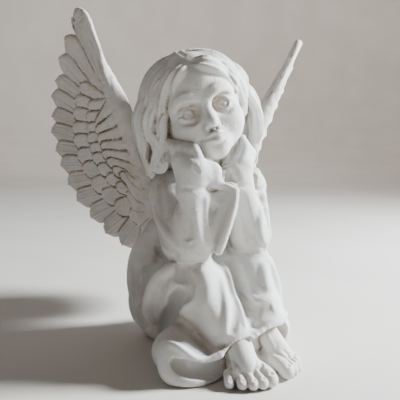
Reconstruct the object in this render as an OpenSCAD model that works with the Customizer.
// Seated angel figurine with raised wings, cast in resin as separate pieces and pinned together.
// Frame: +Z up, the figure faces -Y, the origin is on the floor under the middle of the seat.
// Every casting is the smooth union of tapered limbs ("bones"). A neighbour is cut away along the
// surface where the two pieces are equally deep, less the glue line, so neighbours always fit.

/* [Figure] */
// Height of the crown of the head above the floor
figure_h = 115; // [95:1:150]
// Radius of the head, hair left out
head_r = 16.5; // [13.5:0.5:20]
// Sideways lean of the head, in degrees
head_lean = 20; // [0:1:25]
// Turn of the head towards the right shoulder, in degrees
head_turn = 12; // [-10:1:25]
// Lift of the chin, in degrees
head_lift = 6; // [0:1:12]
// Thickness of the hair over the skull
hair_t = 2.6; // [2:0.2:4]

/* [Wings] */
// Length of a wing from its root to its tip
wing_l = 86; // [70:1:105]
// Width of a wing across its widest feathers
wing_w = 49; // [40:1:56]
// Thickness of the wing blade
wing_t = 3.6; // [3:0.2:5]
// Height of the wing root above the floor
wing_root_z = 52; // [46:1:56]
// Extra outward lean of the left wing, in degrees
left_lean_out = 5; // [0:1:8]
// Extra backward lean of the left wing, in degrees
left_lean_back = 4; // [0:1:8]

/* [Robe and feet] */
// Radius of the sleeve at the elbow
sleeve_r = 8.4; // [7:0.2:9.5]
// Radius of the forearm at the wrist
wrist_r = 4.6; // [4:0.2:5.4]
// Length of a foot in front of the ankle
foot_l = 13; // [11:0.5:15]
// Radius of a big toe
toe_r = 2.5; // [2:0.1:3]
// Reach of the flared hem to the side
hem_flare = 26.5; // [23:0.5:30]

/* [Assembly] */
// Glue line between two castings
glue_gap = 0.3; // [0.2:0.05:0.5]
// Diameter of a steel dowel
dowel_d = 2.5; // [2:0.5:3]
// Radial clearance of a dowel in its hole
dowel_clear = 0.06; // [0.03:0.01:0.1]
// Length of a dowel
dowel_l = 12; // [9:0.5:14]
// Depth left for glue past each end of a dowel
dowel_end = 0.5; // [0.3:0.1:1]
// Diameter of the felt disc under the seat
felt_d = 30; // [24:1:34]
// Thickness of the felt disc
felt_t = 1.5; // [1:0.25:2]
// Width of the gap round the felt disc
felt_clear = 0.4; // [0.2:0.1:0.8]

/* [Fineness] */
// Size of the cells that the large castings are meshed in
coarse = 3.2; // [2.4:0.1:3.6]
// Size of the cells that the arms are meshed in
fine = 2.3; // [1.8:0.1:2.6]
// Size of the cells that the feet are meshed in
toe_cell = 1.6; // [1.3:0.1:2]

/* [Hidden] */
resin = [0.80, 0.79, 0.76];
steel = [0.62, 0.63, 0.65];
felt = [0.20, 0.24, 0.20];
drawn_h = 115;           // the crown height that the bones below are written for
k = figure_h / drawn_h;
far = 1000;

// ---- fields: the signed distance from a point to a shape, negative inside ----
function smin(a, b, r) = let (h = max(r - abs(a - b), 0) / r) min(a, b) - h * h * r / 4;
function bone_d(p, b) =
  let (ab = b[1] - b[0], t = min(1, max(0, (p - b[0]) * ab / (ab * ab))))
  norm(p - b[0] - t * ab) - (b[2] + (b[3] - b[2]) * t);
function limb_d(p, bones, r, i = 0, d = far) =
  i == len(bones) ? d : limb_d(p, bones, r, i + 1, smin(d, bone_d(p, bones[i]), r));
function at(x, y, z) = k * [x, y, z];
function bone(a, b, ra, rb) = [a, b, ra, rb];                  // two ends and their own radii
function limb(a, b, ra, rb) = [k * a, k * b, k * ra, k * rb];  // the same, grown with the figure
function flipped(v, side) = [side * v[0], v[1], v[2]];
function cube_cell(size) = [size, size, size];

// ---- the head's own axes, and points given along them ----
function turned(v) =
  let (
    c1 = cos(head_lift), s1 = sin(head_lift),
    c2 = cos(head_lean), s2 = sin(head_lean),
    c3 = cos(head_turn), s3 = sin(head_turn),
    a = [v[0], v[1] * c1 + v[2] * s1, -v[1] * s1 + v[2] * c1],
    b = [a[0] * c2 - a[2] * s2, a[1], a[0] * s2 + a[2] * c2]
  )
  [b[0] * c3 + b[1] * s3, -b[0] * s3 + b[1] * c3, b[2]];
drawn_head_r = 16.5;
hair_r = head_r + hair_t;
function in_head(x, y, z) = turned([x, y, z] * head_r / drawn_head_r);
crown = [0, 5, 4];
head_c = [-9 * k, -3 * k, figure_h - hair_r - in_head(crown[0], crown[1], crown[2])[2]];
function on_head(x, y, z) = head_c + in_head(x, y, z);

head_bones = [
  bone(on_head(0, 1, 3), on_head(0, 3, 4), head_r, hair_r - 1),
  bone(on_head(0, -4, -4), on_head(0, -10, -13), head_r * 0.72, head_r * 0.36),
  bone(on_head(-6, -6, -6), on_head(6, -6, -6), head_r * 0.45, head_r * 0.45),
  limb([-7, 2, 78], [-5, 7, 62], 7, 7.5)
];
hair_bones = [
  bone(on_head(crown[0], crown[1], crown[2]), on_head(0, 4, 0), hair_r, hair_r - 1),
  bone(on_head(-13, -2, 7), at(-25.5, 0, 86), 6, 4.2 * k),
  limb([-25.5, 0, 86], [-24, -1, 69], 4.2, 3.4),
  bone(on_head(12, -2, 7), at(16, 1, 91), 6, 4.4 * k),
  limb([16, 1, 91], [15, 4, 71], 4.4, 3.2),
  limb([-17, 12, 84], [-14, 17, 66], 9, 6),
  limb([3, 13, 84], [4, 18, 67], 9, 6)
];

// ---- the robe, with the seat and the drawn-up legs under it ----
flare_r = 5.6;
flare_x = flare_r - hem_flare / k;
body_bones = [
  limb([-1, 15, 12], [-1, 12, 46], 15.5, 13.5),
  limb([-1, 12, 46], [-3, 8.5, 60], 13.5, 9.5),
  limb([-13, 9, 59], [10, 10, 60], 8.5, 8.5),
  limb([-12, 16, 13], [-14, -16, 29], 15, 10),
  limb([10, 17, 13], [9.5, -15, 31], 14.5, 8.6),
  limb([-14, -17, 29], [-5, -27, 14], 9.6, 8.6),
  limb([9.5, -15, 31], [8, -26, 17], 8.6, 8.4),
  limb([-2, 4, 38], [-1, -12, 28], 10, 9),
  limb([-2, -8, 9], [2, -22, 10], 12, 8),
  limb([-9, 15, 5], [-8, -15, 5], 11, 9),
  limb([9, 15, 5], [8, -14, 5], 11, 9),
  limb([12, -18, 13], [15, -21, 11], 9, 7.5),
  limb([-10, -10, 9], [flare_x, -22, 5.5], 10.5, flare_r),
  limb([flare_x, -22, 5.5], [flare_x + 2, -29, 4], flare_r, 4.4),
  limb([flare_x + 2, -29, 4], [-7, -27, 5], 4.4, 5)
];

// ---- arms: shoulder, elbow on the knee, wrist and the hand under the jaw ----
hand_r = wrist_r - 0.4;
right_arm_bones = [
  bone(at(-15, 8, 60), at(-17, -13, 44.5), sleeve_r, sleeve_r),
  bone(at(-15.5, -18, 44.5), at(-17, -19, 62), sleeve_r - 1, wrist_r + 0.8),
  bone(at(-17, -19, 63), at(-19.5, -17, 73), hand_r, hand_r),
  limb([-13, -20, 60], [-4, -22.5, 61.5], 3.4, 2),
  limb([-4, -22.5, 61.5], [-11, -21, 46], 2, 3.4)
];
left_arm_bones = [
  bone(at(10, 9, 61), at(9.5, -13, 46), sleeve_r - 0.4, sleeve_r - 0.6),
  bone(at(9, -16, 45.5), at(3.5, -14.5, 64), sleeve_r - 1.8, wrist_r + 0.6),
  bone(at(3, -14.5, 66), at(6, -12, 76), hand_r, hand_r - 0.4),
  limb([5, -14, 65], [12.5, -11, 66], 3.4, 2.2),
  limb([12.5, -11, 66], [12, -14, 52], 2.2, 4)
];

// ---- feet: one ankle bone, one sole bone and a fan of five toes ----
toe_count = 5;
toe_pitch = 3.3;
function toe_reach(i) = foot_l * (1 - 0.055 * pow(i - 0.8, 2) / 1.6);
function foot_bones(side, heel, yaw) =
  let (to_foot = function(v) let (u = flipped(v, side))
    heel + [u[0] * cos(yaw) - u[1] * sin(yaw), u[0] * sin(yaw) + u[1] * cos(yaw), u[2]])
  concat(
    [
      bone(to_foot([0, 3, 12.5]), to_foot([0, -foot_l * 0.55, 5.4]), 5.6, 4.6),
      bone(to_foot([-2.6, -foot_l * 0.6, 3.8]), to_foot([4.2, -foot_l * 0.55, 3.4]), 3.9, 3.5)
    ],
    [
      for (i = [0:toe_count - 1]) let (
        x = -5.6 + toe_pitch * i,
        r = i == 0 ? toe_r : toe_r * (0.86 - 0.05 * i)
      )
      bone(to_foot([x * 0.9, -toe_reach(i) * 0.66, r + 0.9]), to_foot([x, -toe_reach(i), r]), r, r * 0.95)
    ]
  );
right_foot_bones = foot_bones(-1, at(-4, -32, 0), 4);
left_foot_bones = foot_bones(1, at(10.5, -26.5, 0), 26);

// ---- wings: a flat fan of feathers about one centre, behind a rounded leading edge ----
// A wing is drawn in its own axes: u from the leading edge to the feather tips, v up, h through it.
wing_root = [-12 * k, 22 * k, wing_root_z];
wing_u = [-0.419, 0.879, -0.227];
wing_v = [-0.419, 0.035, 0.907];
wing_camber = 0.0012;
function leant(v) =
  let (
    c1 = cos(left_lean_back), s1 = sin(left_lean_back),
    c2 = cos(left_lean_out), s2 = sin(left_lean_out),
    b = [v[0], v[1] * c1 + v[2] * s1, -v[1] * s1 + v[2] * c1]
  )
  [b[0] * c2 + b[2] * s2, b[1], -b[0] * s2 + b[2] * c2];
function wing_axes(side) =
  let (axes = [wing_u, wing_v, cross(wing_u, wing_v)])
  side < 0 ? [wing_root, axes] : [flipped(wing_root, -1), [for (a = axes) leant(flipped(a, -1))]];
function from_wing(frame, q) = frame[0] + q * frame[1];
function to_wing(frame, p) = [for (a = frame[1]) a * (p - frame[0])];
feather_count = 19;
feather_r = 4.4;
fan_from = -8;
fan_to = 163;
fan_c = [8, 0.35 * wing_l];
function fan_reach(a) = 1 + 0.37 * pow(max(0, 1 - a / 60), 2.4) + 0.3 * max(0, (a - 85) / 65);
function feather_tip(a) =
  fan_c + fan_reach(a) * [(wing_w - fan_c[0]) * sin(a), 0.68 * (wing_l - fan_c[1]) * cos(a)];
function feather(s) =
  let (
    root = [4, 0.6 * wing_l * (1 - s)],
    tip = feather_tip(fan_from + (fan_to - fan_from) * s)
  )
  [root, tip - feather_r * (tip - root) / norm(tip - root)];
feathers = [for (i = [0:feather_count - 1]) feather(i / (feather_count - 1))];
function flat_d(q, a, b) =
  let (ab = b - a, t = min(1, max(0, (q - a) * ab / (ab * ab))))
  norm(q - a - t * ab);
vane_bones = [
  for (f = feathers) bone([f[0][0], f[0][1], 0], [f[1][0], f[1][1], 0], feather_r, feather_r)
];
function vane_d(q) = min([for (f = feathers) flat_d(q, f[0], f[1])]) - feather_r;
wing_bones = [
  bone([3, 2, 0], [0, 0.6 * wing_l, 0], wing_t * 1.25, wing_t),
  bone([0, 0.6 * wing_l, 0], [0, 0.95 * wing_l, 0], wing_t, wing_t * 0.7)
];
root_bones = [
  bone([10, -2, 0], [6, 14, 0], 7, 6),
  bone([6, 3, 0], [-8, -4, 0], 7.5, 6.5)
];
function wing_shape_d(q) =
  let (h = [q[0], q[1], q[2] + wing_camber * pow(q[0] - 14, 2)])
  smin(smin(limb_d(h, wing_bones, 2), max(vane_d([q[0], q[1]]), abs(h[2]) - wing_t / 2), 2),
    limb_d(q, root_bones, 4), 5);
function wing_d(p, side) = wing_shape_d(to_wing(wing_axes(side), p));

// ---- castings: each piece's field, less its neighbours ----
function body_d(p) = limb_d(p, body_bones, 5);
function head_d(p) = smin(limb_d(p, head_bones, 3), limb_d(p, hair_bones, 4), 1.5);
function arm_d(p, side) = limb_d(p, side < 0 ? right_arm_bones : left_arm_bones, 2.5);
function foot_d(p, side) = limb_d(p, side < 0 ? right_foot_bones : left_foot_bones, 1.2);
// The flats between a casting's points sag past the true surface by a part of the size of its cells.
sag = 0.06;
function cut(d, others, cell) = max(d, (d - min(others) + glue_gap) / 2 + sag * cell);

// ---- dowels: from inside the body into each casting ----
function along(a, b) =
  let (m = (a + b) / 2, half = (b - a) / norm(b - a) * dowel_l / 2)
  [m - half, m + half];
neck_pins = [along(at(-4, 8, 56), at(-5.5, 5, 68))];
arm_pins = [
  along(at(-9, 9, 57), at(-17, 2, 56)),
  along(at(7, 9, 58), at(14, 3, 57))
];
function wing_pin(side, z0, v0) =
  along(at(4 * side, 11, z0), from_wing(wing_axes(side), [3, v0, 0]));
wing_pins = [for (side = [-1, 1]) each [wing_pin(side, 46, -1.5), wing_pin(side, 52, 4.5)]];
foot_pins = [
  along(at(-4, -25, 13), at(-4, -36, 7.5)),
  along(at(8.2, -21, 14), at(12, -30, 7.6))
];

module rod(pin, r, extra) {
  u = (pin[1] - pin[0]) / norm(pin[1] - pin[0]);
  start = pin[0] - u * extra;
  translate(start)
    rotate([0, acos(u[2]), atan2(u[1], u[0])])
      cylinder(r = r, h = norm(pin[1] - pin[0]) + 2 * extra, $fn = 48);
}
module dowels(pins) { color(steel) for (pin = pins) rod(pin, dowel_d / 2, 0); }
module holes(pins) { for (pin = pins) rod(pin, dowel_d / 2 + dowel_clear, dowel_end); }

// ---- meshing a field: one point in each cell that the surface crosses, joined across its edges ----
corners = [for (i = [0, 1]) for (j = [0, 1]) for (l = [0, 1]) [i, j, l]];
cell_edges = [for (a = [0:7]) for (b = [a + 1:7]) if (norm(corners[a] - corners[b]) == 1) [a, b]];
function mean(v) = let (ones = [for (q = v) 1]) ones * v / len(v);
function scaled(a, b) = [a[0] * b[0], a[1] * b[1], a[2] * b[2]];
function crossing(c, values) =
  let (hits = [
    for (e = cell_edges) let (da = values[e[0]], db = values[e[1]])
      if ((da < 0) != (db < 0)) corners[e[0]] + (corners[e[1]] - corners[e[0]]) * da / (da - db)
  ])
  len(hits) == 0 ? undef : c + mean(hits);
function split_quad(q, pts) =
  norm(pts[q[0]] - pts[q[2]]) < norm(pts[q[1]] - pts[q[3]])
    ? [[q[0], q[1], q[2]], [q[0], q[2], q[3]]]
    : [[q[1], q[2], q[3]], [q[1], q[3], q[0]]];
// A face of a cell whose corners are inside and outside by turns would join four surfaces in one
// edge, so the shallower of its two outside corners is moved inside until no such face is left.
function knotted(d, i, j, l, a) =
  len([
    for (s = [-1, 1]) for (t = [-1, 1])
      if ((d[i + s][j][l] < 0 && d[i][j + t][l] < 0 && d[i + s][j + t][l] >= a)
        || (d[i + s][j][l] < 0 && d[i][j][l + t] < 0 && d[i + s][j][l + t] >= a)
        || (d[i][j + s][l] < 0 && d[i][j][l + t] < 0 && d[i][j + s][l + t] >= a)) 1
  ]) > 0;
function untangled(d, n, sunk) =
  let (
    marks = [for (i = [0:n[0]]) [for (j = [0:n[1]]) [for (l = [0:n[2]]) let (a = d[i][j][l])
      a >= 0 && min(i, j, l, n[0] - i, n[1] - j, n[2] - l) > 0 && knotted(d, i, j, l, a)]]],
    hits = len([for (plane = marks) for (row = plane) for (m = row) if (m) 1])
  )
  hits == 0 ? d : untangled(
    [for (i = [0:n[0]]) [for (j = [0:n[1]]) [for (l = [0:n[2]]) marks[i][j][l] ? sunk : d[i][j][l]]]],
    n, sunk);
function box_of(bones) = [
  [for (a = [0:2]) min([for (b = bones) min(b[0][a] - b[2], b[1][a] - b[3])])],
  [for (a = [0:2]) max([for (b = bones) max(b[0][a] + b[2], b[1][a] + b[3])])]
];
function padded(box, pad) = [[for (v = box[0]) v - pad], [for (v = box[1]) v + pad]];
function on_floor(box) = [[box[0][0], box[0][1], 0], box[1]];
blend_room = 1.5;        // how far a blend may swell past its bones
module cast(box, cell, field, frame = [[0, 0, 0], [[1, 0, 0], [0, 1, 0], [0, 0, 1]]]) {
  lo = box[0] - cell;
  n = [for (a = [0:2]) ceil((box[1][a] - lo[a]) / cell[a])];
  place = function(q) from_wing(frame, lo + scaled(q, cell));
  handed = cross(frame[1][0], frame[1][1]) * frame[1][2] > 0;
  d = untangled(
    [for (i = [0:n[0]]) [for (j = [0:n[1]]) [for (l = [0:n[2]]) field(place([i, j, l]))]]],
    n, -min(cell) / 20);
  marks = [
    for (i = [0:n[0] - 1]) for (j = [0:n[1] - 1]) for (l = [0:n[2] - 1])
      crossing([i, j, l], [for (c = corners) d[i + c[0]][j + c[1]][l + c[2]]])
  ];
  pts = [for (m = marks) if (m != undef) place(m)];
  order = [for (i = 0, c = 0; i < len(marks); c = c + (marks[i] == undef ? 0 : 1), i = i + 1) c];
  id = function(i, j, l) order[(i * n[1] + j) * n[2] + l];
  quads = [
    for (i = [1:n[0] - 1]) for (j = [1:n[1] - 1]) for (l = [1:n[2] - 1]) let (here = d[i][j][l] < 0)
      each [
        if (here != (d[i + 1][j][l] < 0))
          [here, [id(i, j - 1, l - 1), id(i, j, l - 1), id(i, j, l), id(i, j - 1, l)]],
        if (here != (d[i][j + 1][l] < 0))
          [here, [id(i - 1, j, l - 1), id(i - 1, j, l), id(i, j, l), id(i, j, l - 1)]],
        if (here != (d[i][j][l + 1] < 0))
          [here, [id(i - 1, j - 1, l), id(i, j - 1, l), id(i, j, l), id(i - 1, j, l)]]
      ]
  ];
  faces = [
    for (q = quads) each split_quad(q[0] == handed ? [q[1][3], q[1][2], q[1][1], q[1][0]] : q[1], pts)
  ];
  polyhedron(points = pts, faces = faces, convexity = 8);
}

// ---- the pieces ----
module robe_body() {
  color(resin) difference() {
    cast(on_floor(padded(box_of(body_bones), blend_room)), cube_cell(coarse), function(p)
      cut(max(body_d(p), -p[2]),
        [head_d(p), arm_d(p, -1), arm_d(p, 1), wing_d(p, -1), wing_d(p, 1), foot_d(p, -1), foot_d(p, 1)],
        coarse));
    holes(neck_pins);
    holes(arm_pins);
    holes(wing_pins);
    holes(foot_pins);
    translate([0, 0, -felt_t]) cylinder(d = felt_d + 2 * felt_clear, h = 2 * felt_t, $fn = 96);
  }
}
module head() {
  color(resin) difference() {
    cast(padded(box_of(concat(head_bones, hair_bones)), blend_room), cube_cell(coarse), function(p)
      cut(head_d(p), [body_d(p), arm_d(p, -1), arm_d(p, 1), wing_d(p, -1), wing_d(p, 1)], coarse));
    holes(neck_pins);
    holes(wing_pins);
  }
}
module arm(side) {
  bones = side < 0 ? right_arm_bones : left_arm_bones;
  color(resin) difference() {
    cast(padded(box_of(bones), blend_room), cube_cell(fine), function(p)
      cut(arm_d(p, side), [body_d(p), head_d(p), arm_d(p, -side), wing_d(p, side)], fine));
    holes(arm_pins);
    holes(wing_pins);
  }
}
module wing(side) {
  color(resin) difference() {
    cast(padded(box_of(concat(wing_bones, vane_bones, root_bones)), blend_room),
      [coarse, coarse, wing_t / 2], function(p)
      cut(wing_d(p, side), [body_d(p), head_d(p), arm_d(p, side)], coarse), wing_axes(side));
    holes(wing_pins);
  }
}
module foot(side) {
  bones = side < 0 ? right_foot_bones : left_foot_bones;
  color(resin) difference() {
    cast(on_floor(padded(box_of(bones), blend_room)), cube_cell(toe_cell), function(p)
      cut(max(foot_d(p, side), -p[2]), [body_d(p), foot_d(p, -side)], toe_cell));
    holes(foot_pins);
  }
}
module base_felt() { color(felt) cylinder(d = felt_d, h = felt_t, $fn = 96); }

robe_body();
head();
arm(-1);  // right_arm
arm(1);  // left_arm
wing(-1);  // right_wing
wing(1);  // left_wing
foot(-1);  // right_foot
foot(1);  // left_foot
dowels(neck_pins);  // neck_dowel
dowels(arm_pins);  // arm_dowels
dowels(wing_pins);  // wing_dowels
dowels(foot_pins);  // foot_dowels
base_felt();
